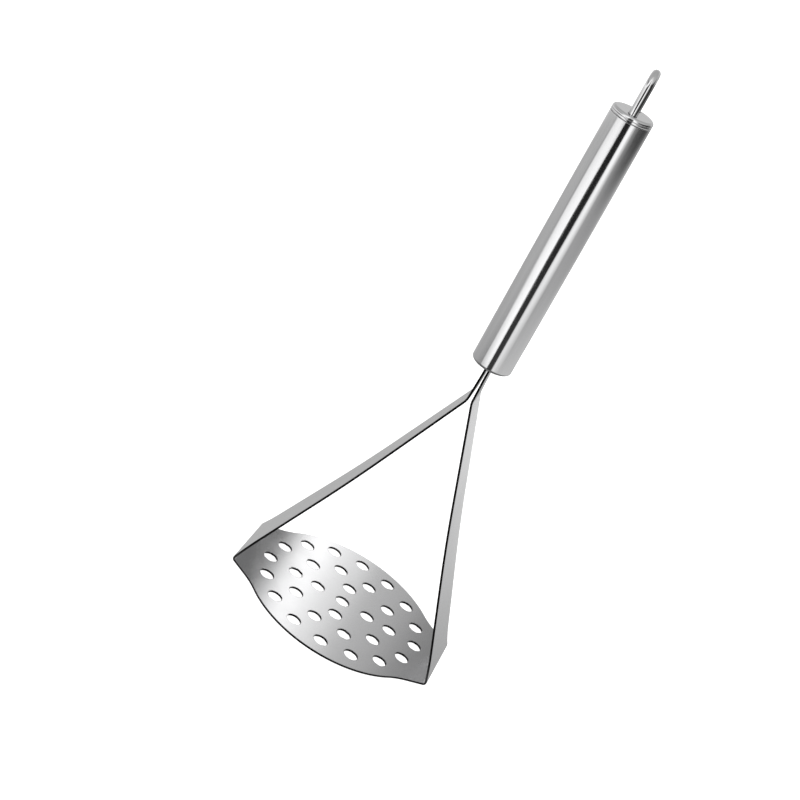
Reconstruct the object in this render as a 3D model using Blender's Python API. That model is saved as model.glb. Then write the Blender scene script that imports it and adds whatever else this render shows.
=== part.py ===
"""Hand potato masher: one bent, perforated sheet blade on a closed tubular handle with a hanging loop.

Metres, +Z up. The blade's underside rests on z = 0 and the blade is centred on the Z axis.
"""

import math

import bmesh
import bpy
from mathutils import Matrix, Vector

MM = 0.001

# Blade: a single sheet, disc in the middle, an arm folded up at each end
SHEET = 1.0 * MM
DISC_RADIUS = 46.4 * MM
FOLD_HALF_SPAN = 50.2 * MM  # from the centre to where the middles of disc and arm would meet
FOLD_RADIUS = 0.8 * MM  # to the middle of the sheet
DISC_END_ANGLE = math.radians(42)  # where the round edge stops, from the direction of an arm
FLARE_LEAD = 5.0 * MM  # from there to the corner where the flare turns outwards
FLARE_END = (56.0 * MM, 15.6 * MM)  # along the sheet from the centre, and half width
FLARE_RADII = (36.0 * MM, 26.0 * MM)
ARM_BOW = 1.2 * MM  # how far the middle of an arm sits inside a straight line
NECK_HEIGHT = 119.0 * MM
NECK_HALF_GAP = 1.15 * MM  # from the middle plane to the middle of each arm at the neck
NECK_HALF_WIDTH = 8.3 * MM
NECK_RADIUS = 9.0 * MM

# Holes, in rings about a centre
HOLE_DIAMETER = 6.6 * MM
HOLE_RINGS = ((1, 0.0), (4, 12.85 * MM), (10, 24.4 * MM), (16, 37.6 * MM))  # count and radius
HOLE_TURN = math.radians(2.7)  # of the whole pattern, against the line between the folds
HOLE_SHIFT = 0.9 * MM  # of the whole pattern, towards the back

# Tangs: the arms' ends, held in the handle
HANDLE_LEAN = math.radians(-2.7)  # about the neck, towards -X
TANG_HALF_GAP = 0.8 * MM
TANG_HALF_WIDTH = 6.8 * MM
TANG_INSIDE = 14.0 * MM

# Handle, measured up its own axis from the neck
HANDLE_START = 15.8 * MM
TUBE_LENGTH = 118.6 * MM
TUBE_RADIUS = 9.0 * MM
TUBE_SWELL = 0.12 * MM
TUBE_WALL = 0.8 * MM
TUBE_LIP = 1.3 * MM  # rolled-in lower edge
PLUG_THICKNESS = 5.0 * MM
PLUG_RECESS = 0.15 * MM
CAP_FILLET = 1.2 * MM
CAP_HEIGHT = 2.6 * MM
CAP_GROOVE_HEIGHT = 0.85 * MM  # from the cap's lower edge
CAP_GROOVE = 0.25 * MM
CAP_SPIGOT = 8.0 * MM

# Hanging loop
WIRE_DIAMETER = 3.5 * MM
LOOP_HALF_SPACING = 5.2 * MM
LOOP_HEIGHT = 18.9 * MM
LOOP_INSIDE = 7.0 * MM

GAP = 0.25 * MM
AROUND = 48


def clear_scene():
    for obj in list(bpy.data.objects):
        bpy.data.objects.remove(obj, do_unlink=True)


def steel(name, colour, roughness):
    material = bpy.data.materials.new(name)
    material.use_nodes = True
    shader = material.node_tree.nodes["Principled BSDF"]
    shader.inputs["Base Color"].default_value = (*colour, 1.0)
    shader.inputs["Metallic"].default_value = 1.0
    shader.inputs["Roughness"].default_value = roughness
    return material


def add_object(name, mesh_data, material, smooth_angle=None):
    mesh = bpy.data.meshes.new(name)
    mesh_data.to_mesh(mesh)
    mesh_data.free()
    if smooth_angle is not None:
        mesh.shade_smooth()
        mesh.set_sharp_from_angle(angle=smooth_angle)
    obj = bpy.data.objects.new(name, mesh)
    bpy.context.scene.collection.objects.link(obj)
    if material:
        mesh.materials.append(material)
    return obj


def filleted(corners, radii, steps):
    """Points along a polyline whose inner corners are arcs of the given radii, tangent to both sides."""
    points = [Vector(corners[0])]
    for before, corner, after, radius, count in zip(corners, corners[1:], corners[2:], radii, steps):
        corner = Vector(corner)
        back = (Vector(before) - corner).normalized()
        ahead = (Vector(after) - corner).normalized()
        half = back.angle(ahead) / 2
        middle = corner + (back + ahead).normalized() * (radius / math.sin(half))
        start = corner + back * (radius / math.tan(half)) - middle
        end = corner + ahead * (radius / math.tan(half)) - middle
        turn = start.angle(end)
        for i in range(count + 1):
            a = i / count
            points.append(middle + (start * math.sin((1 - a) * turn) + end * math.sin(a * turn)) / math.sin(turn))
    points.append(Vector(corners[-1]))
    return points


def lengths_along(points):
    total = [0.0]
    for a, b in zip(points, points[1:]):
        total.append(total[-1] + (b - a).length)
    return total


def value_at(keys, values, key):
    """Straight-line interpolation between values listed at rising keys."""
    for k0, k1, v0, v1 in zip(keys, keys[1:], values, values[1:]):
        if key <= k1:
            return v0 + (v1 - v0) * ((key - k0) / (k1 - k0))
    return values[-1]


def handle_point(across, up):
    """(x, z) of a point given in the handle's own axes, whose origin is the middle of the neck."""
    cos, sin = math.cos(HANDLE_LEAN), math.sin(HANDLE_LEAN)
    return (across * cos + up * sin, NECK_HEIGHT - across * sin + up * cos)


def side_path(side):
    """Middle line of one half of the sheet in the XZ plane, from the centre of the disc to the end of a tang."""
    floor = SHEET / 2
    fold = side * FOLD_HALF_SPAN
    neck = side * NECK_HALF_GAP
    middle_x = (fold + neck) / 2 - side * ARM_BOW
    middle_z = (floor + NECK_HEIGHT) / 2 - 0.4 * ARM_BOW
    corners = [
        (0.0, floor),
        (fold, floor),
        (middle_x, middle_z),
        (neck, NECK_HEIGHT),
        handle_point(side * TANG_HALF_GAP, HANDLE_START - 3 * MM),
        handle_point(side * TANG_HALF_GAP, HANDLE_START + TANG_INSIDE),
    ]
    return filleted(corners, (FOLD_RADIUS, 900 * MM, NECK_RADIUS, 60 * MM), (8, 8, 8, 3))


def half_width_profile(length):
    """(distances along the sheet, half widths) of the blank, from the centre of the disc to a tang's end."""
    distances = []
    widths = []
    for i in range(19):
        angle = math.pi / 2 - (math.pi / 2 - DISC_END_ANGLE) * i / 18
        distances.append(DISC_RADIUS * math.cos(angle))
        widths.append(DISC_RADIUS * math.sin(angle))
    round_end = Vector((distances[-1], widths[-1]))
    onward = Vector((math.sin(DISC_END_ANGLE), -math.cos(DISC_END_ANGLE)))
    neck_at = length - TANG_INSIDE - HANDLE_START
    corners = [
        round_end,
        round_end + onward * FLARE_LEAD,
        FLARE_END,
        (neck_at, NECK_HALF_WIDTH),
        (length - TANG_INSIDE, TANG_HALF_WIDTH),
        (length, TANG_HALF_WIDTH),
    ]
    flare = filleted(corners, (*FLARE_RADII, 60 * MM, 30 * MM), (4, 6, 3, 3))
    distances += [p.x for p in flare[1:]]
    widths += [p.y for p in flare[1:]]
    return distances, widths


def side_sections(side):
    """Cross-sections of one half of the sheet: (lower face x, z), (upper face x, z), half width."""
    path = side_path(side)
    along = lengths_along(path)
    distances, widths = half_width_profile(along[-1])
    stations = []
    for s in sorted(along + distances):
        if not stations or s - stations[-1] > 0.12 * MM:
            stations.append(s)
    stations[-1] = along[-1]
    sections = []
    for s in stations:
        before = value_at(along, path, max(s - 0.05 * MM, 0.0))
        after = value_at(along, path, min(s + 0.05 * MM, along[-1]))
        here = value_at(along, path, s)
        tangent = (after - before).normalized()
        outward = side * Vector((tangent.y, -tangent.x)) * (SHEET / 2)
        sections.append((here + outward, here - outward, value_at(distances, widths, s)))
    return sections


def sheet_mesh():
    left = side_sections(-1)
    right = side_sections(1)
    sections = list(reversed(left)) + right[1:]
    mesh = bmesh.new()
    rings = []
    for low, high, width in sections:
        corners = ((low, -width), (low, width), (high, width), (high, -width))
        rings.append([mesh.verts.new((p.x, y, p.y)) for p, y in corners])
    for a, b in zip(rings, rings[1:]):
        for i in range(4):
            j = (i + 1) % 4
            mesh.faces.new((a[i], a[j], b[j], b[i]))
    mesh.faces.new(list(reversed(rings[0])))
    mesh.faces.new(rings[-1])
    bmesh.ops.recalc_face_normals(mesh, faces=mesh.faces)
    return mesh


def hole_cutter():
    """Every hole's cylinder in one helper mesh."""
    mesh = bmesh.new()
    for count, ring in HOLE_RINGS:
        for i in range(count):
            angle = HOLE_TURN + 2 * math.pi * i / count
            x, y = ring * math.cos(angle), ring * math.sin(angle) + HOLE_SHIFT
            place = Matrix.Translation((x, y, SHEET / 2))
            bmesh.ops.create_cone(
                mesh,
                cap_ends=True,
                segments=28,
                radius1=HOLE_DIAMETER / 2,
                radius2=HOLE_DIAMETER / 2,
                depth=4 * SHEET,
                matrix=place,
            )
    return mesh


def cut(obj, cutter):
    cutter.hide_render = True
    cutter.display_type = "WIRE"
    modifier = obj.modifiers.new("cut_" + cutter.name, "BOOLEAN")
    modifier.operation = "DIFFERENCE"
    modifier.solver = "EXACT"
    modifier.object = cutter


def turned(profile, count=AROUND):
    """A closed (radius, height) outline turned about Z, listed anticlockwise as seen with the axis on the left."""
    mesh = bmesh.new()
    rings = []
    for radius, height in profile:
        if radius < 1e-7:
            rings.append([mesh.verts.new((0.0, 0.0, height))] * count)
            continue
        ring = []
        for i in range(count):
            angle = 2 * math.pi * i / count
            ring.append(mesh.verts.new((radius * math.cos(angle), radius * math.sin(angle), height)))
        rings.append(ring)
    for a, b in zip(rings, rings[1:] + rings[:1]):
        for i in range(count):
            j = (i + 1) % count
            corners = list(dict.fromkeys((a[i], a[j], b[j], b[i])))
            if len(corners) > 2:
                mesh.faces.new(corners)
    bmesh.ops.recalc_face_normals(mesh, faces=mesh.faces)
    return mesh


def arc(centre, radius, start, end, steps):
    points = []
    for i in range(steps + 1):
        angle = math.radians(start + (end - start) * i / steps)
        points.append((centre[0] + radius * math.cos(angle), centre[1] + radius * math.sin(angle)))
    return points


def swell_at(height):
    """How much the tube's radius exceeds its end radius at a height above its lower edge."""
    return TUBE_SWELL * math.sin(math.pi * height / TUBE_LENGTH)


def tube_mesh():
    inner = TUBE_RADIUS - TUBE_WALL
    outline = arc((TUBE_RADIUS - TUBE_LIP, TUBE_LIP), TUBE_LIP, -90, 0, 6)
    for i in range(1, 12):
        height = TUBE_LIP + (TUBE_LENGTH - TUBE_LIP) * i / 12
        outline.append((TUBE_RADIUS + swell_at(height), height))
    outline.append((TUBE_RADIUS, TUBE_LENGTH))
    outline.append((inner, TUBE_LENGTH))
    outline.append((inner, TUBE_LIP))
    outline += arc((TUBE_RADIUS - TUBE_LIP, TUBE_LIP), TUBE_LIP - TUBE_WALL, -30, -90, 2)
    return turned(outline)


def plug_mesh():
    """Disc closing the tube's lower end, stepped to sit inside the rolled lip."""
    face_radius = TUBE_RADIUS - TUBE_LIP - GAP
    body_radius = TUBE_RADIUS - TUBE_WALL - GAP
    step = TUBE_LIP + GAP
    outline = [
        (0.0, PLUG_RECESS),
        (face_radius - 0.3 * MM, PLUG_RECESS),
        (face_radius, PLUG_RECESS + 0.3 * MM),
        (face_radius, step),
        (body_radius, step + 0.4 * MM),
        (body_radius, PLUG_THICKNESS),
        (0.0, PLUG_THICKNESS),
    ]
    return turned(outline)


def cap_mesh():
    """Top cap: rounded disc with a fine groove round its side, and a spigot down into the tube."""
    base = TUBE_LENGTH + GAP
    top = base + CAP_HEIGHT
    spigot = TUBE_RADIUS - TUBE_WALL - GAP
    groove = base + CAP_GROOVE_HEIGHT
    outline = [(0.0, base - CAP_SPIGOT), (spigot - 0.5 * MM, base - CAP_SPIGOT)]
    outline += [(spigot, base - CAP_SPIGOT + 0.5 * MM), (spigot, base), (TUBE_RADIUS, base)]
    outline += [(TUBE_RADIUS, groove), (TUBE_RADIUS - CAP_GROOVE, groove + CAP_GROOVE / 2)]
    outline += [(TUBE_RADIUS, groove + CAP_GROOVE)]
    outline += arc((TUBE_RADIUS - CAP_FILLET, top - CAP_FILLET), CAP_FILLET, 0, 90, 6)
    outline += [(0.0, top)]
    return turned(outline)


def box_mesh(size, centre):
    mesh = bmesh.new()
    bmesh.ops.create_cube(mesh, size=1.0)
    bmesh.ops.scale(mesh, vec=size, verts=mesh.verts)
    bmesh.ops.translate(mesh, vec=centre, verts=mesh.verts)
    return mesh


def leg_holes_mesh():
    mesh = bmesh.new()
    middle = TUBE_LENGTH + GAP + (CAP_HEIGHT - CAP_SPIGOT) / 2
    for side in (-1, 1):
        bmesh.ops.create_cone(
            mesh,
            cap_ends=True,
            segments=24,
            radius1=WIRE_DIAMETER / 2 + GAP,
            radius2=WIRE_DIAMETER / 2 + GAP,
            depth=(CAP_HEIGHT + CAP_SPIGOT) * 1.5,
            matrix=Matrix.Translation((0.0, side * LOOP_HALF_SPACING, middle)),
        )
    return mesh


def loop_mesh():
    """Round wire bent into an upturned U, both legs through the cap."""
    top = TUBE_LENGTH + GAP + CAP_HEIGHT
    bend = top + LOOP_HEIGHT - WIRE_DIAMETER / 2 - LOOP_HALF_SPACING
    centres = [(-LOOP_HALF_SPACING, top - LOOP_INSIDE, 0.0)]
    for i in range(17):
        angle = math.pi * (1 - i / 16)
        centres.append((LOOP_HALF_SPACING * math.cos(angle), bend + LOOP_HALF_SPACING * math.sin(angle), angle))
    centres.append((LOOP_HALF_SPACING, top - LOOP_INSIDE, 0.0))
    mesh = bmesh.new()
    rings = []
    for index, (y, z, angle) in enumerate(centres):
        out = Vector((0.0, math.cos(angle), math.sin(angle)))
        if index == 0:
            out = Vector((0.0, -1.0, 0.0))
        if index == len(centres) - 1:
            out = Vector((0.0, 1.0, 0.0))
        ring = []
        for i in range(20):
            a = 2 * math.pi * i / 20
            offset = out * math.cos(a) + Vector((1.0, 0.0, 0.0)) * math.sin(a)
            ring.append(mesh.verts.new(Vector((0.0, y, z)) + offset * (WIRE_DIAMETER / 2)))
        rings.append(ring)
    for a, b in zip(rings, rings[1:]):
        for i in range(20):
            j = (i + 1) % 20
            mesh.faces.new((a[i], a[j], b[j], b[i]))
    mesh.faces.new(rings[0])
    mesh.faces.new(rings[-1])
    bmesh.ops.recalc_face_normals(mesh, faces=mesh.faces)
    return mesh


def on_handle(mesh):
    """Moves a mesh from the handle's own frame, with z = 0 at the tube's lower edge, to its place."""
    lift = Matrix.Translation((0.0, 0.0, HANDLE_START))
    lean = Matrix.Rotation(HANDLE_LEAN, 4, "Y")
    place = Matrix.Translation((0.0, 0.0, NECK_HEIGHT)) @ lean @ lift
    bmesh.ops.transform(mesh, matrix=place, verts=mesh.verts)
    return mesh


def build():
    clear_scene()
    satin = steel("satin_steel", (0.62, 0.62, 0.63), 0.28)
    polished = steel("polished_steel", (0.68, 0.68, 0.69), 0.14)
    smooth = math.radians(30)

    blade = add_object("masher_blade", sheet_mesh(), satin)
    cut(blade, add_object("cutter_holes", hole_cutter(), None))

    add_object("handle_tube", on_handle(tube_mesh()), polished, smooth)

    plug = add_object("handle_bottom_plug", on_handle(plug_mesh()), polished, smooth)
    slot_size = (2 * TANG_HALF_GAP + SHEET + 2 * GAP, 2 * TANG_HALF_WIDTH + 4 * GAP, 3 * PLUG_THICKNESS)
    cut(plug, add_object("cutter_slot", on_handle(box_mesh(slot_size, (0.0, 0.0, 0.0))), None))

    cap = add_object("handle_top_cap", on_handle(cap_mesh()), polished, smooth)
    cut(cap, add_object("cutter_legs", on_handle(leg_holes_mesh()), None))

    add_object("hanging_loop", on_handle(loop_mesh()), polished, smooth)


build()
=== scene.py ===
"""Looks of the hand potato masher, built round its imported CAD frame.

Finer meshes, steel materials, light, floor and camera.
"""

import math

import bmesh
import bpy
from mathutils import Matrix, Vector
from mathutils.geometry import delaunay_2d_cdt


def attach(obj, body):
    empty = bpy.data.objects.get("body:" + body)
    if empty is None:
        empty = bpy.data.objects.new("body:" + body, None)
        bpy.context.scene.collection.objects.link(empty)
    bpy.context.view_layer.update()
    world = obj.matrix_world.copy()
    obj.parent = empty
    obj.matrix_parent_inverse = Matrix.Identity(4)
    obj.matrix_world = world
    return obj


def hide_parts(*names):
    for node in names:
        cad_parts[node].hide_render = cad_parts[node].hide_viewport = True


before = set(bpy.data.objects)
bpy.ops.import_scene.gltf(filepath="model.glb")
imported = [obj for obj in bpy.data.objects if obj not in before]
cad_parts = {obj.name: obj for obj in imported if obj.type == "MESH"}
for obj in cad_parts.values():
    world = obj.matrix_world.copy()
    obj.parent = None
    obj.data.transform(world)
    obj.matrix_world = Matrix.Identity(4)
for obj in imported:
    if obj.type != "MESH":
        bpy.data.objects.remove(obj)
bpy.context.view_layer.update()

MM = 0.001

# The same dimensions as the CAD part
SHEET = 1.0 * MM
DISC_RADIUS = 46.4 * MM
FOLD_HALF_SPAN = 50.2 * MM
FOLD_RADIUS = 0.8 * MM
DISC_END_ANGLE = math.radians(42)
FLARE_LEAD = 5.0 * MM
FLARE_END = (56.0 * MM, 15.6 * MM)
FLARE_RADII = (36.0 * MM, 26.0 * MM)
TAPER_RADII = (60.0 * MM, 30.0 * MM)  # of the outline, at the neck and at the tang
ARM_BOW = 1.2 * MM
ARM_BOW_DROP = 0.4 * ARM_BOW
ARM_RADIUS = 900.0 * MM
NECK_HEIGHT = 119.0 * MM
NECK_HALF_GAP = 1.15 * MM
NECK_HALF_WIDTH = 8.3 * MM
NECK_RADIUS = 9.0 * MM
TANG_RADIUS = 60.0 * MM
HOLE_DIAMETER = 6.6 * MM
HOLE_RINGS = ((1, 0.0), (4, 12.85 * MM), (10, 24.4 * MM), (16, 37.6 * MM))
HOLE_TURN = math.radians(2.7)
HOLE_SHIFT = 0.9 * MM
HANDLE_LEAN = math.radians(-2.7)
TANG_HALF_GAP = 0.8 * MM
TANG_HALF_WIDTH = 6.8 * MM
TANG_INSIDE = 14.0 * MM
TANG_LEAD = 3.0 * MM  # the tangs' last bend is this far below the handle
HANDLE_START = 15.8 * MM
TUBE_LENGTH = 118.6 * MM
TUBE_RADIUS = 9.0 * MM
TUBE_SWELL = 0.12 * MM
TUBE_WALL = 0.8 * MM
TUBE_LIP = 1.3 * MM
PLUG_THICKNESS = 5.0 * MM
PLUG_RECESS = 0.15 * MM
CAP_FILLET = 1.2 * MM
CAP_HEIGHT = 2.6 * MM
CAP_GROOVE_HEIGHT = 0.85 * MM
CAP_GROOVE = 0.25 * MM
CAP_SPIGOT = 8.0 * MM
WIRE_DIAMETER = 3.5 * MM
LOOP_HALF_SPACING = 5.2 * MM
LOOP_HEIGHT = 18.9 * MM
LOOP_INSIDE = 7.0 * MM
GAP = 0.25 * MM

# Finish that the CAD part leaves out
EDGE_ROUND = 0.16 * MM  # tumbled edges of the cut sheet
EDGE_BAND = 1.6 * EDGE_ROUND  # from the cut edge to where the flat faces start
LIP_HOLD = (0.002 * MM, 0.2 * MM)  # a ring this far outside and above the end of the lip's arc

# Fineness of the meshes
AROUND = 160
BEND_STEPS = (20, 10, 14, 5)
DISC_STEPS = 60
OUTLINE_STEPS = (10, 14, 6, 4)
STATION_GAP = 0.2 * MM  # least step along the sheet between two points of its outline
SLOPE_REACH = 0.08 * MM  # how far to each side the sheet's slope is measured
HOLE_STEPS = 56
RUNGS_FROM = DISC_RADIUS + 1 * MM  # edges run across the arms from here outwards
DELAUNAY_OUTPUT = 2  # the given edges, intersected
CLOSENESS = 1e-7
TUBE_RINGS = 40
LOOP_STEPS = 48
WIRE_STEPS = 40
LEG_STEPS = 48
SHARP_ANGLE = math.radians(40)

# Scale of the blotches in the steel's gloss, per metre
BLOTCH_SCALE = 90.0

# Paper of the floor and backdrop: how much it reflects and how much it glows
PAPER = 0.5
PAPER_GLOW = 0.95

# Floor, backdrop and key light, in metres and watts
FLOOR_SIZE = 6.0
FLOOR_DROP = 0.0002
WALL_RADIUS = 5.8
WALL_HEIGHT = 5.0
WALL_MIDDLE = 2.45
KEY_AT = (-0.4, -0.3, 1.2)
KEY_LOOKS_AT = (0.0, 0.0, 0.1)
KEY_SIDE = 1.0
KEY_POWER = 6.0

# Camera
CAMERA_AT = (14.4 * MM, -724.2 * MM, 420.9 * MM)
CAMERA_LOOKS_AT = (-25.3 * MM, 0.0, 98.9 * MM)
CAMERA_ROLL = math.radians(31.70)
CAMERA_VIEW = math.radians(24.14)


def linked(name, mesh_data):
    """Turns mesh data into an object in the scene."""
    mesh = bpy.data.meshes.new(name)
    mesh_data.to_mesh(mesh)
    mesh_data.free()
    obj = bpy.data.objects.new(name, mesh)
    bpy.context.scene.collection.objects.link(obj)
    return obj


def new_object(name, mesh_data, material, node):
    """Turns mesh data into a smooth-shaded piece that stands for a CAD node."""
    obj = linked(name, mesh_data)
    obj.data.materials.append(material)
    obj.data.shade_smooth()
    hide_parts(node)
    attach(obj, "root")
    return obj


# ---------------------------------------------------------------- blade


def filleted(corners, radii, steps):
    """Points along a polyline whose inner corners are arcs of the given radii."""
    points = [Vector(corners[0])]
    for before, corner, after, radius, count in zip(corners, corners[1:], corners[2:], radii, steps):
        corner = Vector(corner)
        back = (Vector(before) - corner).normalized()
        ahead = (Vector(after) - corner).normalized()
        half = back.angle(ahead) / 2
        middle = corner + (back + ahead).normalized() * (radius / math.sin(half))
        start = corner + back * (radius / math.tan(half)) - middle
        end = corner + ahead * (radius / math.tan(half)) - middle
        turn = start.angle(end)
        for i in range(count + 1):
            a = i / count
            mixed = start * math.sin((1 - a) * turn) + end * math.sin(a * turn)
            points.append(middle + mixed / math.sin(turn))
    points.append(Vector(corners[-1]))
    return points


def lengths_along(points):
    """Distance of each point from the first, along the polyline."""
    total = [0.0]
    for a, b in zip(points, points[1:]):
        total.append(total[-1] + (b - a).length)
    return total


def value_at(keys, values, key):
    """The value at a key, by straight lines between rising keys."""
    for k0, k1, v0, v1 in zip(keys, keys[1:], values, values[1:]):
        if key <= k1:
            return v0 + (v1 - v0) * ((key - k0) / (k1 - k0))
    return values[-1]


def handle_point(across, up):
    """A place in the leaning handle's frame, whose origin is at the neck, as (x, z)."""
    cos, sin = math.cos(HANDLE_LEAN), math.sin(HANDLE_LEAN)
    return (across * cos + up * sin, NECK_HEIGHT - across * sin + up * cos)


def side_path(side):
    """Middle line of one half of the sheet in the XZ plane."""
    floor = SHEET / 2
    fold = side * FOLD_HALF_SPAN
    neck = side * NECK_HALF_GAP
    middle_x = (fold + neck) / 2 - side * ARM_BOW
    middle_z = (floor + NECK_HEIGHT) / 2 - ARM_BOW_DROP
    corners = [
        (0.0, floor),
        (fold, floor),
        (middle_x, middle_z),
        (neck, NECK_HEIGHT),
        handle_point(side * TANG_HALF_GAP, HANDLE_START - TANG_LEAD),
        handle_point(side * TANG_HALF_GAP, HANDLE_START + TANG_INSIDE),
    ]
    radii = (FOLD_RADIUS, ARM_RADIUS, NECK_RADIUS, TANG_RADIUS)
    return filleted(corners, radii, BEND_STEPS)


def half_width_profile(length):
    """(distances along the sheet, half widths) of the blank, from the disc's centre to a tang's end."""
    distances = []
    widths = []
    for i in range(DISC_STEPS + 1):
        angle = math.pi / 2 - (math.pi / 2 - DISC_END_ANGLE) * i / DISC_STEPS
        distances.append(DISC_RADIUS * math.cos(angle))
        widths.append(DISC_RADIUS * math.sin(angle))
    round_end = Vector((distances[-1], widths[-1]))
    onward = Vector((math.sin(DISC_END_ANGLE), -math.cos(DISC_END_ANGLE)))
    neck_at = length - TANG_INSIDE - HANDLE_START
    corners = [
        round_end,
        round_end + onward * FLARE_LEAD,
        FLARE_END,
        (neck_at, NECK_HALF_WIDTH),
        (length - TANG_INSIDE, TANG_HALF_WIDTH),
        (length, TANG_HALF_WIDTH),
    ]
    flare = filleted(corners, (*FLARE_RADII, *TAPER_RADII), OUTLINE_STEPS)
    distances += [p.x for p in flare[1:]]
    widths += [p.y for p in flare[1:]]
    return distances, widths


class Bend:
    """Maps a point of the flat blank (distance along, distance across, height) onto the folded sheet."""

    def __init__(self):
        self.paths = {side: side_path(side) for side in (-1, 1)}
        self.along = {side: lengths_along(self.paths[side]) for side in (-1, 1)}

    def length(self):
        return self.along[1][-1]

    def frame_at(self, distance):
        side = -1 if distance < 0 else 1
        s = abs(distance)
        keys, path = self.along[side], self.paths[side]
        before = value_at(keys, path, max(s - SLOPE_REACH, 0.0))
        after = value_at(keys, path, min(s + SLOPE_REACH, keys[-1]))
        tangent = (after - before).normalized()
        upward = side * Vector((-tangent.y, tangent.x))
        return value_at(keys, path, s), upward

    def place(self, distance, across, height):
        middle, upward = self.frame_at(distance)
        point = middle + upward * height
        return Vector((point.x, across, point.y))


def blank_outline(bend):
    """Half of the blank's edge as (distance, half width), from one tang's end to the other's."""
    length = bend.length()
    distances, widths = half_width_profile(length)
    stations = []
    for s in sorted(bend.along[1] + distances):
        if not stations or s - stations[-1] > STATION_GAP:
            stations.append(s)
    stations[-1] = length
    right = [(s, value_at(distances, widths, s)) for s in stations]
    left = [(-s, w) for s, w in reversed(right[1:])]
    return left + right


def inset_loop(points, amount):
    """A closed loop moved into the sheet, which lies to the left of it."""
    moved = []
    count = len(points)
    for i in range(count):
        before, here, after = points[i - 1], points[i], points[(i + 1) % count]
        first = (here - before).normalized()
        second = (after - here).normalized()
        inward = Vector((-first.y - second.y, first.x + second.x)).normalized()
        reach = amount / max(0.5, inward.dot(Vector((-first.y, first.x))))
        moved.append(here + inward * reach)
    return moved


def edge_profile():
    """(inset, height) pairs round the sheet's cut edge, from the flat of its top to that of its underside."""
    half = SHEET / 2
    rows = [(EDGE_BAND, half), (EDGE_ROUND, half)]
    for i in range(1, 4):
        angle = math.radians(30 * i)
        rows.append((EDGE_ROUND * (1 - math.sin(angle)), half - EDGE_ROUND * (1 - math.cos(angle))))
    return rows + [(inset, -height) for inset, height in reversed(rows)]


def hole_loops():
    """The holes' edges on the flat blank, each with the sheet to the left of it."""
    loops = []
    for count, ring in HOLE_RINGS:
        for i in range(count):
            angle = HOLE_TURN + 2 * math.pi * i / count
            centre = Vector((ring * math.cos(angle), ring * math.sin(angle) + HOLE_SHIFT))
            loop = []
            for j in range(HOLE_STEPS):
                turn = -2 * math.pi * j / HOLE_STEPS
                loop.append(centre + Vector((math.cos(turn), math.sin(turn))) * (HOLE_DIAMETER / 2))
            loops.append(loop)
    return loops


def blade_mesh():
    """The folded sheet: rounded edges round its outline and holes, then its two faces between them."""
    bend = Bend()
    outline = blank_outline(bend)
    near = [Vector((s, -w)) for s, w in outline]
    far = [Vector((s, w)) for s, w in reversed(outline)]
    loops = [near + far] + hole_loops()
    mesh = bmesh.new()
    flat = mesh.loops.layers.uv.new("flat")
    # Faces of the cut edge, marked to take painted shade: a near-black colour in the sheet's material.
    painted_dark_rim = mesh.faces.layers.float.new("painted_dark_rim")

    def add_face(verts, places, on_painted_dark_rim):
        face = mesh.faces.new(verts)
        face[painted_dark_rim] = on_painted_dark_rim
        for corner, place in zip(face.loops, places):
            corner[flat].uv = (place.x / MM, place.y / MM)

    top_points, top_edges, top_verts = [], [], []
    under_verts = []
    for loop in loops:
        rings = []
        for inset, height in edge_profile():
            places = inset_loop(loop, inset)
            verts = [mesh.verts.new(bend.place(p.x, p.y, height)) for p in places]
            rings.append((verts, places))
        count = len(loop)
        strips = list(zip(rings, rings[1:]))
        for step, ((upper, upper_at), (lower, lower_at)) in enumerate(strips):
            # The rounded edge and cut face take the painted shade; the flat bands beside them don't.
            level = 1.0 if 2 <= step < len(strips) - 2 else 0.0
            for i in range(count):
                j = (i + 1) % count
                corners = ((upper, i), (lower, i), (lower, j), (upper, j))
                spots = (upper_at[i], lower_at[i], lower_at[j], upper_at[j])
                add_face([verts[k] for verts, k in corners], spots, level)
        first = len(top_points)
        top_points += rings[0][1]
        top_verts += rings[0][0]
        under_verts += rings[-1][0]
        top_edges += [(first + i, first + (i + 1) % count) for i in range(count)]
    span = len(outline)
    for i in range(1, span - 1):
        if abs(outline[i][0]) > RUNGS_FROM:
            top_edges.append((i, 2 * span - 1 - i))
    _, _, faces, origins, _, _ = delaunay_2d_cdt(top_points, top_edges, [], DELAUNAY_OUTPUT, CLOSENESS)
    index = [olds[0] for olds in origins]
    holes = [sum(loop, Vector((0.0, 0.0))) / len(loop) for loop in loops[1:]]
    for face in faces:
        corners = [index[i] for i in face]
        centre = sum((top_points[i] for i in corners), Vector((0.0, 0.0))) / len(corners)
        if any((centre - hole).length < HOLE_DIAMETER / 2 for hole in holes):
            continue
        places = [top_points[i] for i in corners]
        add_face([top_verts[i] for i in corners], places, 0.0)
        add_face([under_verts[i] for i in reversed(corners)], places[::-1], 0.0)
    bmesh.ops.recalc_face_normals(mesh, faces=mesh.faces)
    return mesh


# ---------------------------------------------------------------- handle


def turned(profile):
    """A closed (radius, height) outline turned about Z."""
    count = AROUND
    mesh = bmesh.new()
    rings = []
    for radius, height in profile:
        if radius == 0.0:
            rings.append([mesh.verts.new((0.0, 0.0, height))] * count)
            continue
        ring = []
        for i in range(count):
            angle = 2 * math.pi * i / count
            ring.append(mesh.verts.new((radius * math.cos(angle), radius * math.sin(angle), height)))
        rings.append(ring)
    for a, b in zip(rings, rings[1:] + rings[:1]):
        for i in range(count):
            j = (i + 1) % count
            corners = list(dict.fromkeys((a[i], a[j], b[j], b[i])))
            if len(corners) > 2:
                mesh.faces.new(corners)
    bmesh.ops.recalc_face_normals(mesh, faces=mesh.faces)
    return mesh


def arc(centre, radius, start, end, steps):
    """Points of an arc between two angles in degrees."""
    points = []
    for i in range(steps + 1):
        angle = math.radians(start + (end - start) * i / steps)
        points.append((centre[0] + radius * math.cos(angle), centre[1] + radius * math.sin(angle)))
    return points


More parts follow.
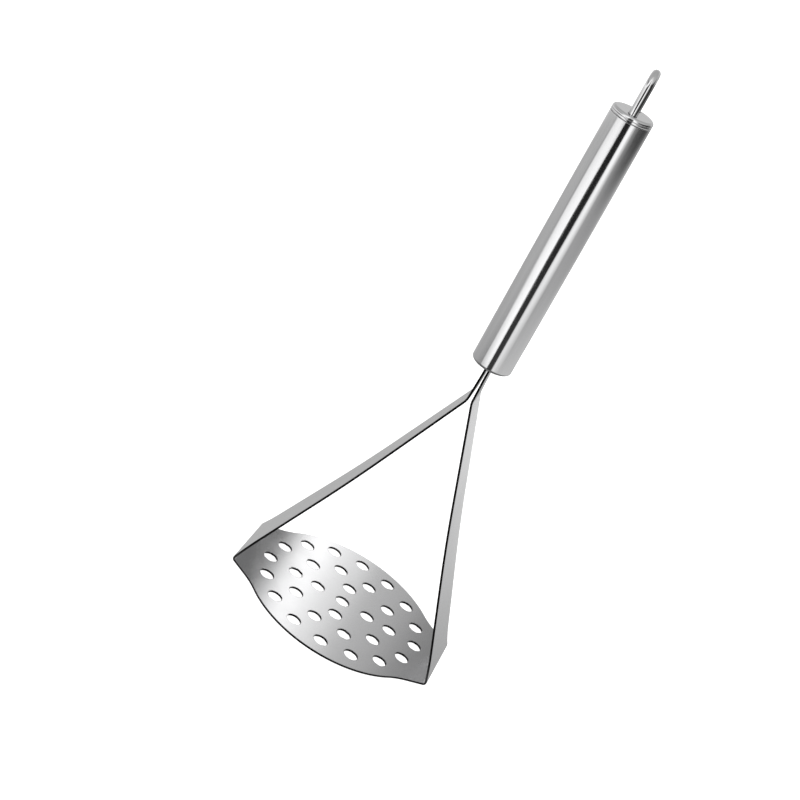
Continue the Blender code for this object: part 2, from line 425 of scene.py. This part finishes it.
def on_handle(mesh):
    """Moves a mesh from the handle's own frame, with z = 0 at the tube's lower edge, to its place."""
    lift = Matrix.Translation((0.0, 0.0, HANDLE_START))
    lean = Matrix.Rotation(HANDLE_LEAN, 4, "Y")
    place = Matrix.Translation((0.0, 0.0, NECK_HEIGHT)) @ lean @ lift
    bmesh.ops.transform(mesh, matrix=place, verts=mesh.verts)
    return mesh


def tube_mesh():
    """Open tube with a slight swell, its lower edge rolled in."""
    inner = TUBE_RADIUS - TUBE_WALL
    outline = arc((TUBE_RADIUS - TUBE_LIP, TUBE_LIP), TUBE_LIP, -90, 0, 14)
    outline.append((TUBE_RADIUS + LIP_HOLD[0], TUBE_LIP + LIP_HOLD[1]))
    for i in range(1, TUBE_RINGS):
        height = TUBE_LIP + (TUBE_LENGTH - TUBE_LIP) * i / TUBE_RINGS
        outline.append((TUBE_RADIUS + TUBE_SWELL * math.sin(math.pi * height / TUBE_LENGTH), height))
    edge = 0.12 * MM
    outline.append((TUBE_RADIUS, TUBE_LENGTH - 2 * edge))
    outline += arc((TUBE_RADIUS - edge, TUBE_LENGTH - edge), edge, 0, 90, 3)
    outline += [(inner, TUBE_LENGTH), (inner, TUBE_LIP)]
    outline += arc((TUBE_RADIUS - TUBE_LIP, TUBE_LIP), TUBE_LIP - TUBE_WALL, -30, -90, 5)
    return on_handle(turned(outline))


def plug_mesh():
    """Stepped disc in the tube's lower end; its slot is cut afterwards."""
    face = TUBE_RADIUS - TUBE_LIP - GAP
    body = TUBE_RADIUS - TUBE_WALL - GAP
    step = TUBE_LIP + GAP
    edge = 0.3 * MM
    band = 0.5 * MM  # from the face's edge to its last flat ring
    slope = 0.4 * MM
    outline = [(0.0, PLUG_RECESS), (face - band, PLUG_RECESS)]
    outline += arc((face - edge, PLUG_RECESS + edge), edge, -90, 0, 5)
    outline += [(face, step), (body, step + slope), (body, PLUG_THICKNESS), (0.0, PLUG_THICKNESS)]
    return on_handle(turned(outline))


def cap_mesh():
    """Grooved cap with a rounded edge and a spigot; the loop's two bores are cut afterwards."""
    base = TUBE_LENGTH + GAP
    top = base + CAP_HEIGHT
    spigot = TUBE_RADIUS - TUBE_WALL - GAP
    groove = base + CAP_GROOVE_HEIGHT
    edge = 0.1 * MM
    chamfer = 0.5 * MM
    outline = [(0.0, base - CAP_SPIGOT), (spigot - chamfer, base - CAP_SPIGOT)]
    outline += [(spigot, base - CAP_SPIGOT + chamfer), (spigot, base)]
    outline += arc((TUBE_RADIUS - edge, base + edge), edge, -90, 0, 3)
    outline += arc((TUBE_RADIUS - edge, groove - edge), edge, 0, 60, 3)
    outline += [(TUBE_RADIUS - CAP_GROOVE, groove + CAP_GROOVE / 2)]
    outline += arc((TUBE_RADIUS - edge, groove + CAP_GROOVE + edge), edge, -60, 0, 3)
    outline += arc((TUBE_RADIUS - CAP_FILLET, top - CAP_FILLET), CAP_FILLET, 0, 90, 14)
    outline += [(TUBE_RADIUS - CAP_FILLET - edge, top), (0.0, top)]
    return on_handle(turned(outline))


def loop_mesh():
    """Round wire bent into an upturned U, its legs' hidden ends chamfered."""
    top = TUBE_LENGTH + GAP + CAP_HEIGHT
    bend = top + LOOP_HEIGHT - WIRE_DIAMETER / 2 - LOOP_HALF_SPACING
    radius = WIRE_DIAMETER / 2
    low = top - LOOP_INSIDE
    chamfer = 0.4 * MM
    tip_share = 0.75  # the ends' radius as a share of the wire's
    path = [(-LOOP_HALF_SPACING, low + chamfer, math.pi), (-LOOP_HALF_SPACING, top, math.pi)]
    for i in range(LOOP_STEPS + 1):
        angle = math.pi * (1 - i / LOOP_STEPS)
        path.append((LOOP_HALF_SPACING * math.cos(angle), bend + LOOP_HALF_SPACING * math.sin(angle), angle))
    path += [(LOOP_HALF_SPACING, top, 0.0), (LOOP_HALF_SPACING, low + chamfer, 0.0)]
    mesh = bmesh.new()
    rings = []
    count = WIRE_STEPS
    for y, z, angle in path:
        out = Vector((0.0, math.cos(angle), math.sin(angle)))
        ring = []
        for i in range(count):
            a = 2 * math.pi * i / count
            offset = out * math.cos(a) + Vector((1.0, 0.0, 0.0)) * math.sin(a)
            ring.append(mesh.verts.new(Vector((0.0, y, z)) + offset * radius))
        rings.append(ring)
    for end, sign in ((0, -1), (-1, 1)):
        y = sign * LOOP_HALF_SPACING
        tip = []
        for vert in rings[end]:
            place = Vector((vert.co.x * tip_share, y + (vert.co.y - y) * tip_share, low))
            tip.append(mesh.verts.new(place))
        if end == 0:
            rings.insert(0, tip)
        else:
            rings.append(tip)
    for a, b in zip(rings, rings[1:]):
        for i in range(count):
            j = (i + 1) % count
            mesh.faces.new((a[i], a[j], b[j], b[i]))
    mesh.faces.new(rings[0])
    mesh.faces.new(rings[-1])
    bmesh.ops.recalc_face_normals(mesh, faces=mesh.faces)
    return on_handle(mesh)


def cut(obj, tool):
    """Cuts a helper from a piece, then removes the helper."""
    modifier = obj.modifiers.new("cut", "BOOLEAN")
    modifier.operation = "DIFFERENCE"
    modifier.solver = "EXACT"
    modifier.object = tool
    graph = bpy.context.evaluated_depsgraph_get()
    done = bpy.data.meshes.new_from_object(obj.evaluated_get(graph), depsgraph=graph)
    obj.modifiers.clear()
    old = obj.data
    obj.data = done
    bpy.data.meshes.remove(old)
    bpy.data.objects.remove(tool, do_unlink=True)
    done.shade_smooth()
    done.set_sharp_from_angle(angle=SHARP_ANGLE)


def slot_tool():
    """A box that passes right through the plug, a little larger than the tangs."""
    mesh = bmesh.new()
    bmesh.ops.create_cube(mesh, size=1.0)
    size = (2 * TANG_HALF_GAP + SHEET + 2 * GAP, 2 * TANG_HALF_WIDTH + 4 * GAP, 3 * PLUG_THICKNESS)
    bmesh.ops.scale(mesh, vec=size, verts=mesh.verts)
    return linked("tool_slot", on_handle(mesh))


def leg_tool():
    """Two rods that pass right through the cap, a little thicker than the loop's legs."""
    mesh = bmesh.new()
    middle = TUBE_LENGTH + GAP + (CAP_HEIGHT - CAP_SPIGOT) / 2
    for side in (-1, 1):
        bmesh.ops.create_cone(
            mesh,
            cap_ends=True,
            segments=LEG_STEPS,
            radius1=WIRE_DIAMETER / 2 + GAP,
            radius2=WIRE_DIAMETER / 2 + GAP,
            depth=(CAP_HEIGHT + CAP_SPIGOT) * 1.5,
            matrix=Matrix.Translation((0.0, side * LOOP_HALF_SPACING, middle)),
        )
    return linked("tool_legs", on_handle(mesh))


# ---------------------------------------------------------------- materials


class Nodes:
    """Short-hand for building a node tree."""

    def __init__(self, tree):
        self.tree = tree

    def add(self, kind, **settings):
        node = self.tree.nodes.new(kind)
        for key, value in settings.items():
            setattr(node, key, value)
        return node

    def link(self, out, into):
        self.tree.links.new(out, into)

    def feed(self, socket, value):
        """Gives a socket a constant, or links another node's output to it."""
        if isinstance(value, (int, float, tuple)):
            socket.default_value = value
        else:
            self.link(value, socket)

    def coordinates(self, kind):
        return self.add("ShaderNodeTexCoord").outputs[kind]

    def split(self, vector):
        node = self.add("ShaderNodeSeparateXYZ")
        self.link(vector, node.inputs["Vector"])
        return node.outputs

    def noise(self, vector, scale, detail, rough):
        node = self.add("ShaderNodeTexNoise")
        node.inputs["Scale"].default_value = scale
        node.inputs["Detail"].default_value = detail
        node.inputs["Roughness"].default_value = rough
        self.link(vector, node.inputs["Vector"])
        return node.outputs["Fac"]

    def stretched(self, vector, scale, rotation=(0.0, 0.0, 0.0)):
        node = self.add("ShaderNodeMapping", vector_type="POINT")
        node.inputs["Scale"].default_value = scale
        node.inputs["Rotation"].default_value = rotation
        self.link(vector, node.inputs["Vector"])
        return node.outputs["Vector"]

    def ranged(self, value, low_in, high_in, low_out, high_out):
        node = self.add("ShaderNodeMapRange")
        node.inputs["From Min"].default_value = low_in
        node.inputs["From Max"].default_value = high_in
        node.inputs["To Min"].default_value = low_out
        node.inputs["To Max"].default_value = high_out
        self.link(value, node.inputs["Value"])
        return node.outputs["Result"]

    def math(self, operation, *values):
        node = self.add("ShaderNodeMath", operation=operation)
        for socket, value in zip(node.inputs, values):
            self.feed(socket, value)
        return node.outputs[0]

    def mixed(self, factor, a, b, **settings):
        node = self.add("ShaderNodeMix", data_type="RGBA", **settings)
        self.feed(node.inputs["Factor"], factor)
        self.feed(node.inputs["A"], a)
        self.feed(node.inputs["B"], b)
        return node.outputs["Result"]

    def colours(self, value, stops):
        node = self.add("ShaderNodeValToRGB")
        ramp = node.color_ramp
        ramp.elements[0].position, ramp.elements[0].color = stops[0][0], (*stops[0][1], 1.0)
        ramp.elements[1].position, ramp.elements[1].color = stops[-1][0], (*stops[-1][1], 1.0)
        for place, colour in stops[1:-1]:
            ramp.elements.new(place).color = (*colour, 1.0)
        self.link(value, node.inputs["Fac"])
        return node.outputs["Color"]


class Material(Nodes):
    """A new material's nodes, with its Principled shader at hand."""

    def __init__(self, name):
        self.material = bpy.data.materials.new(name)
        self.material.use_nodes = True
        super().__init__(self.material.node_tree)
        self.shader = self.tree.nodes["Principled BSDF"]

    def bump(self, height, distance):
        node = self.add("ShaderNodeBump")
        node.inputs["Distance"].default_value = distance
        node.inputs["Strength"].default_value = 1.0
        self.link(height, node.inputs["Height"])
        self.link(node.outputs["Normal"], self.shader.inputs["Normal"])


def steel(name, vector_kind, grain_scale, grain_turn, colour, roughness, spread, grain_depth, painted_dark_rim=None):
    """Steel with a fine directional grain and soft blotches in its gloss.

    The rim colour is painted shade on the sheet's cut edge: near black, in place of the dark reflections seen
    along that edge.
    """
    nodes = Material(name)
    if vector_kind == "flat":
        vector = nodes.add("ShaderNodeUVMap", uv_map="flat").outputs["UV"]
    else:
        vector = nodes.coordinates("Object")
    turned_vector = nodes.stretched(vector, (1.0, 1.0, 1.0), grain_turn)
    grain = nodes.noise(nodes.stretched(turned_vector, grain_scale), 1.0, 4.0, 0.65)
    blotch_scale = BLOTCH_SCALE * MM if vector_kind == "flat" else BLOTCH_SCALE
    blotch = nodes.noise(vector, blotch_scale, 3.0, 0.6)
    shade = nodes.ranged(grain, 0.3, 0.7, 0.93, 1.0)
    tint = nodes.mixed(1.0, (*colour, 1.0), shade, blend_type="MULTIPLY")
    # Painted shade: the marked faces of the cut edge turn near black, standing in for the dark reflections
    # along it.
    if painted_dark_rim:
        edge = nodes.add("ShaderNodeAttribute", attribute_name="painted_dark_rim")
        tint = nodes.mixed(edge.outputs["Fac"], tint, (*painted_dark_rim, 1.0))
    nodes.link(tint, nodes.shader.inputs["Base Color"])
    gloss = nodes.ranged(grain, 0.25, 0.75, roughness - spread, roughness + spread)
    patch = nodes.ranged(blotch, 0.3, 0.7, -0.35 * spread, 0.35 * spread)
    nodes.link(nodes.math("ADD", gloss, patch), nodes.shader.inputs["Roughness"])
    nodes.bump(grain, grain_depth)
    nodes.shader.inputs["Metallic"].default_value = 1.0
    return nodes.material


# ---------------------------------------------------------------- studio


# The light by direction. Each row holds, at one elevation in degrees, the brightness at AZIMUTHS,
# which are degrees round from the front, positive towards +X.
AZIMUTHS = (-180, -150, -110, -75, -66, -60, -45, -28, -15.5, -13, 16,
            18.5, 28, 36, 47, 57, 82, 120, 150, 160, 172)
SKY = (
    (80, (0.55,) * len(AZIMUTHS)),
    (50, (0.5, 0.5, 0.55, 0.6, 0.65, 0.7, 1.0, 1.3, 1.4, 0.9, 0.9,
          1.4, 1.2, 0.9, 0.7, 0.65, 0.6, 0.55, 0.5, 0.5, 0.5)),
    (28, (0.55, 0.55, 0.6, 0.7, 0.75, 0.9, 1.2, 1.4, 1.5, 0.5, 0.5,
          1.5, 1.4, 1.2, 0.8, 0.7, 0.7, 0.6, 0.55, 0.55, 0.55)),
    (15, (0.66, 0.62, 0.3, 0.05, 0.05, 0.6, 1.5, 1.5, 1.5, 0.05, 0.05,
          1.5, 1.5, 1.3, 0.3, 0.05, 0.02, 0.05, 0.4, 0.68, 0.68)),
    (-6, (0.7, 0.8, 1.1, 1.2, 1.3, 1.3, 1.45, 0.5, 0.02, 0.02, 0.02,
          1.5, 1.5, 1.5, 0.9, 0.3, 0.02, 0.02, 0.1, 0.5, 0.6)),
    (-10, (0.9, 1.0, 1.1, 1.2, 1.3, 1.3, 1.45, 0.35, 0.02, 0.02, 0.02,
           1.4, 1.5, 1.4, 0.6, 0.25, 0.05, 0.03, 0.05, 0.1, 0.2)),
    (-11.6, (0.9, 1.0, 1.1, 1.2, 1.3, 1.3, 1.45, 0.3, 0.02, 0.02, 0.02,
             1.4, 1.5, 1.4, 0.75, 0.35, 0.2, 0.14, 0.2, 0.3, 0.35)),
    (-12.8, (0.9, 1.0, 1.1, 1.1, 1.1, 1.2, 1.45, 0.3, 0.02, 0.02, 0.02,
             1.3, 1.45, 1.35, 0.85, 0.48, 0.42, 0.4, 0.42, 0.5, 0.5)),
    (-13.2, (0.8, 0.9, 1.0, 1.0, 0.9, 1.2, 1.3, 1.45, 1.5, 0.02, 0.02,
             1.2, 1.45, 1.3, 0.9, 0.5, 0.45, 0.44, 0.44, 0.6, 0.6)),
    (-14.3, (0.7, 0.75, 0.8, 0.75, 0.6, 1.2, 1.25, 1.4, 1.45, 0.02, 0.02,
             1.0, 1.35, 1.25, 0.95, 0.5, 0.5, 0.46, 0.46, 0.8, 0.8)),
    (-15.9, (0.56, 0.54, 0.57, 0.54, 0.4, 1.15, 1.25, 1.4, 1.45, 0.02, 0.02,
             1.0, 1.3, 1.2, 0.95, 0.5, 0.52, 0.5, 0.5, 0.85, 0.85)),
    (-17.4, (0.56, 0.54, 0.6, 0.57, 0.42, 1.2, 1.3, 1.42, 1.45, 0.03, 0.03,
             0.95, 1.2, 1.12, 0.9, 0.5, 0.6, 0.62, 0.62, 0.98, 0.98)),
    (-19.6, (0.56, 0.52, 0.58, 0.56, 0.42, 1.2, 1.35, 1.45, 1.5, 0.045, 0.045,
             0.95, 1.1, 0.95, 0.8, 0.68, 0.74, 0.74, 0.68, 0.62, 0.62)),
    (-22, (0.56, 0.52, 0.6, 0.55, 0.42, 1.2, 1.4, 1.6, 1.6, 0.06, 0.06,
           1.1, 1.1, 0.9, 0.86, 0.86, 0.92, 0.9, 0.7, 0.42, 0.42)),
    (-28, (0.6, 0.5, 0.4, 0.2, 0.1, 0.08, 0.06, 0.04, 0.02, 0.02, 0.02,
           0.03, 0.05, 0.08, 0.12, 0.2, 0.3, 0.4, 0.5, 0.5, 0.5)),
    (-50, (0.2,) * len(AZIMUTHS)),
)
# Away from this elevation the whole pattern draws in towards the front and shifts a little to +X
BARREL_AT = -17.3
BARREL = 0.007
BARREL_MOST = 1.2
SWAY = 0.3
SWAY_MOST = 4.8


def studio_world():
    """A studio that polished steel can mirror: pale cards with dark gaps between them."""
    world = bpy.data.worlds.new("studio")
    bpy.context.scene.world = world
    world.use_nodes = True
    nodes = Nodes(world.node_tree)
    nodes.tree.nodes.clear()
    x, y, z = nodes.split(nodes.coordinates("Generated"))
    front = nodes.math("MULTIPLY", y, -1.0)
    azimuth = nodes.math("DEGREES", nodes.math("ARCTAN2", x, front))
    elevation = nodes.math("DEGREES", nodes.math("ARCSINE", z))
    away = nodes.math("SUBTRACT", elevation, BARREL_AT)
    squared = nodes.math("MULTIPLY", away, away)
    spread = nodes.math("MINIMUM", nodes.math("MULTIPLY_ADD", squared, BARREL, 1.0), BARREL_MOST)
    sway = nodes.math("MINIMUM", nodes.math("MULTIPLY", squared, SWAY), SWAY_MOST)
    azimuth = nodes.math("SUBTRACT", nodes.math("MULTIPLY", azimuth, spread), sway)
    along = nodes.ranged(azimuth, -180.0, 180.0, 0.0, 1.0)

    def row(levels):
        stops = [((angle + 180.0) / 360.0, (level,) * 3) for angle, level in zip(AZIMUTHS, levels)]
        return nodes.colours(along, stops)

    light = row(SKY[0][1])
    for (upper, _), (lower, levels) in zip(SKY, SKY[1:]):
        light = nodes.mixed(nodes.ranged(elevation, upper, lower, 0.0, 1.0), light, row(levels))
    shader = nodes.add("ShaderNodeBackground")
    nodes.link(light, shader.inputs["Color"])
    output = nodes.add("ShaderNodeOutputWorld")
    nodes.link(shader.outputs["Background"], output.inputs["Surface"])


# The card behind the object: its distance, its left and right ends, its lower and upper ends, and its
# brightness by distance towards +X, in metres
CARD_AT = 0.26
CARD_ENDS = (-0.08, 0.11)
CARD_HEIGHTS = (0.05, 0.27)
CARD_LEVELS = (
    (-0.08, 0.5),
    (-0.072, 0.42),
    (-0.066, 0.12),
    (-0.056, 0.1),
    (-0.05, 0.7),
    (-0.044, 1.75),
    (-0.03, 1.85),
    (-0.023, 1.35),
    (-0.0133, 1.17),
    (-0.003, 1.05),
    (0.0005, 0.72),
    (0.0193, 0.64),
    (0.0275, 0.6),
    (0.0356, 0.5),
    (0.0438, 0.36),
    (0.055, 0.33),
    (0.075, 0.26),
    (0.11, 0.26),
)


def gradient_card():
    """An upright card behind the object, seen only in its polish: a bright strip that fades both ways."""
    left, right = CARD_ENDS
    low, high = CARD_HEIGHTS
    mesh = bmesh.new()
    corners = [(left, 0, low), (right, 0, low), (right, 0, high), (left, 0, high)]
    mesh.faces.new([mesh.verts.new(c) for c in corners])
    obj = linked("gradient_card", mesh)
    obj.location = (0.0, CARD_AT, 0.0)
    nodes = Material("gradient_card")
    nodes.tree.nodes.remove(nodes.shader)
    along = nodes.ranged(nodes.split(nodes.coordinates("Object"))["X"], left, right, 0.0, 1.0)
    stops = [((x - left) / (right - left), (level,) * 3) for x, level in CARD_LEVELS]
    glow = nodes.add("ShaderNodeEmission")
    nodes.link(nodes.colours(along, stops), glow.inputs["Color"])
    nodes.link(glow.outputs["Emission"], nodes.tree.nodes["Material Output"].inputs["Surface"])
    obj.data.materials.append(nodes.material)
    obj.visible_camera = False
    obj.visible_diffuse = False
    obj.visible_shadow = False
    obj.visible_transmission = False


def key_light():
    """One soft lamp above and to the left, which mirrors don't see."""
    data = bpy.data.lights.new("key", "AREA")
    data.shape = "RECTANGLE"
    data.size = KEY_SIDE
    data.size_y = KEY_SIDE
    data.energy = KEY_POWER
    obj = bpy.data.objects.new("key", data)
    obj.location = KEY_AT
    obj.rotation_euler = (Vector(KEY_LOOKS_AT) - Vector(KEY_AT)).to_track_quat("-Z", "Y").to_euler()
    obj.visible_glossy = False
    bpy.context.scene.collection.objects.link(obj)


def glowing_paper(name, fibre_scale):
    nodes = Material(name)
    fibres = nodes.noise(nodes.coordinates("Object"), fibre_scale, 4.0, 0.6)
    shade = nodes.ranged(fibres, 0.2, 0.8, PAPER - 0.02, PAPER + 0.02)
    nodes.link(shade, nodes.shader.inputs["Base Color"])
    nodes.shader.inputs["Roughness"].default_value = 0.9
    nodes.shader.inputs["Emission Color"].default_value = (1.0, 1.0, 1.0, 1.0)
    nodes.shader.inputs["Emission Strength"].default_value = PAPER_GLOW
    return nodes.material


def floor():
    """White paper that glows, so that no shadow shows; mirrors don't see it."""
    mesh = bmesh.new()
    bmesh.ops.create_grid(mesh, x_segments=8, y_segments=8, size=FLOOR_SIZE)
    obj = linked("floor", mesh)
    obj.data.materials.append(glowing_paper("floor_paper", 900.0))
    obj.location.z = -FLOOR_DROP
    obj.visible_glossy = False


def backdrop():
    """A round white wall far away, so that no horizon shows. It casts nothing, and mirrors don't see it."""
    mesh = bmesh.new()
    bmesh.ops.create_cone(
        mesh, cap_ends=False, segments=96, radius1=WALL_RADIUS, radius2=WALL_RADIUS, depth=WALL_HEIGHT
    )
    obj = linked("backdrop", mesh)
    obj.data.shade_smooth()
    obj.data.materials.append(glowing_paper("backdrop_paper", 300.0))
    obj.location.z = WALL_MIDDLE
    obj.visible_glossy = False
    obj.visible_diffuse = False
    obj.visible_shadow = False


def camera():
    data = bpy.data.cameras.new("camera")
    data.sensor_width = 36.0
    data.angle = CAMERA_VIEW
    data.clip_start = 0.01
    data.clip_end = 30.0
    obj = bpy.data.objects.new("camera", data)
    at = Vector(CAMERA_AT)
    aim = (Vector(CAMERA_LOOKS_AT) - at).to_track_quat("-Z", "Y").to_matrix().to_4x4()
    obj.matrix_world = Matrix.Translation(at) @ aim @ Matrix.Rotation(CAMERA_ROLL, 4, "Z")
    bpy.context.scene.collection.objects.link(obj)
    bpy.context.scene.camera = obj


# ---------------------------------------------------------------- the scene


sheet_steel = steel(
    "sheet_steel",
    "flat",
    grain_scale=(0.5, 9.0, 1.0),
    grain_turn=(0.0, 0.0, 0.0),
    colour=(0.63, 0.63, 0.635),
    roughness=0.17,
    spread=0.04,
    grain_depth=0.002 * MM,
    # Painted shade on the cut edge: near black, for the dark reflections along it.
    painted_dark_rim=(0.03, 0.03, 0.03),
)
handle_steel = steel(
    "handle_steel",
    "object",
    grain_scale=(6000.0, 6000.0, 60.0),
    grain_turn=(0.0, -HANDLE_LEAN, 0.0),
    colour=(0.70, 0.70, 0.705),
    roughness=0.11,
    spread=0.04,
    grain_depth=0.0015 * MM,
)
wire_steel = steel(
    "wire_steel",
    "object",
    grain_scale=(2500.0, 2500.0, 120.0),
    grain_turn=(0.0, -HANDLE_LEAN, 0.0),
    colour=(0.70, 0.70, 0.705),
    roughness=0.055,
    spread=0.02,
    grain_depth=0.001 * MM,
)

new_object("blade", blade_mesh(), sheet_steel, "masher_blade")
new_object("tube", tube_mesh(), handle_steel, "handle_tube")
plug = new_object("bottom_plug", plug_mesh(), handle_steel, "handle_bottom_plug")
cut(plug, slot_tool())
cap = new_object("top_cap", cap_mesh(), handle_steel, "handle_top_cap")
cut(cap, leg_tool())
new_object("loop", loop_mesh(), wire_steel, "hanging_loop")

studio_world()
floor()
backdrop()
gradient_card()
key_light()
camera()
bpy.context.scene.view_settings.view_transform = "Standard"
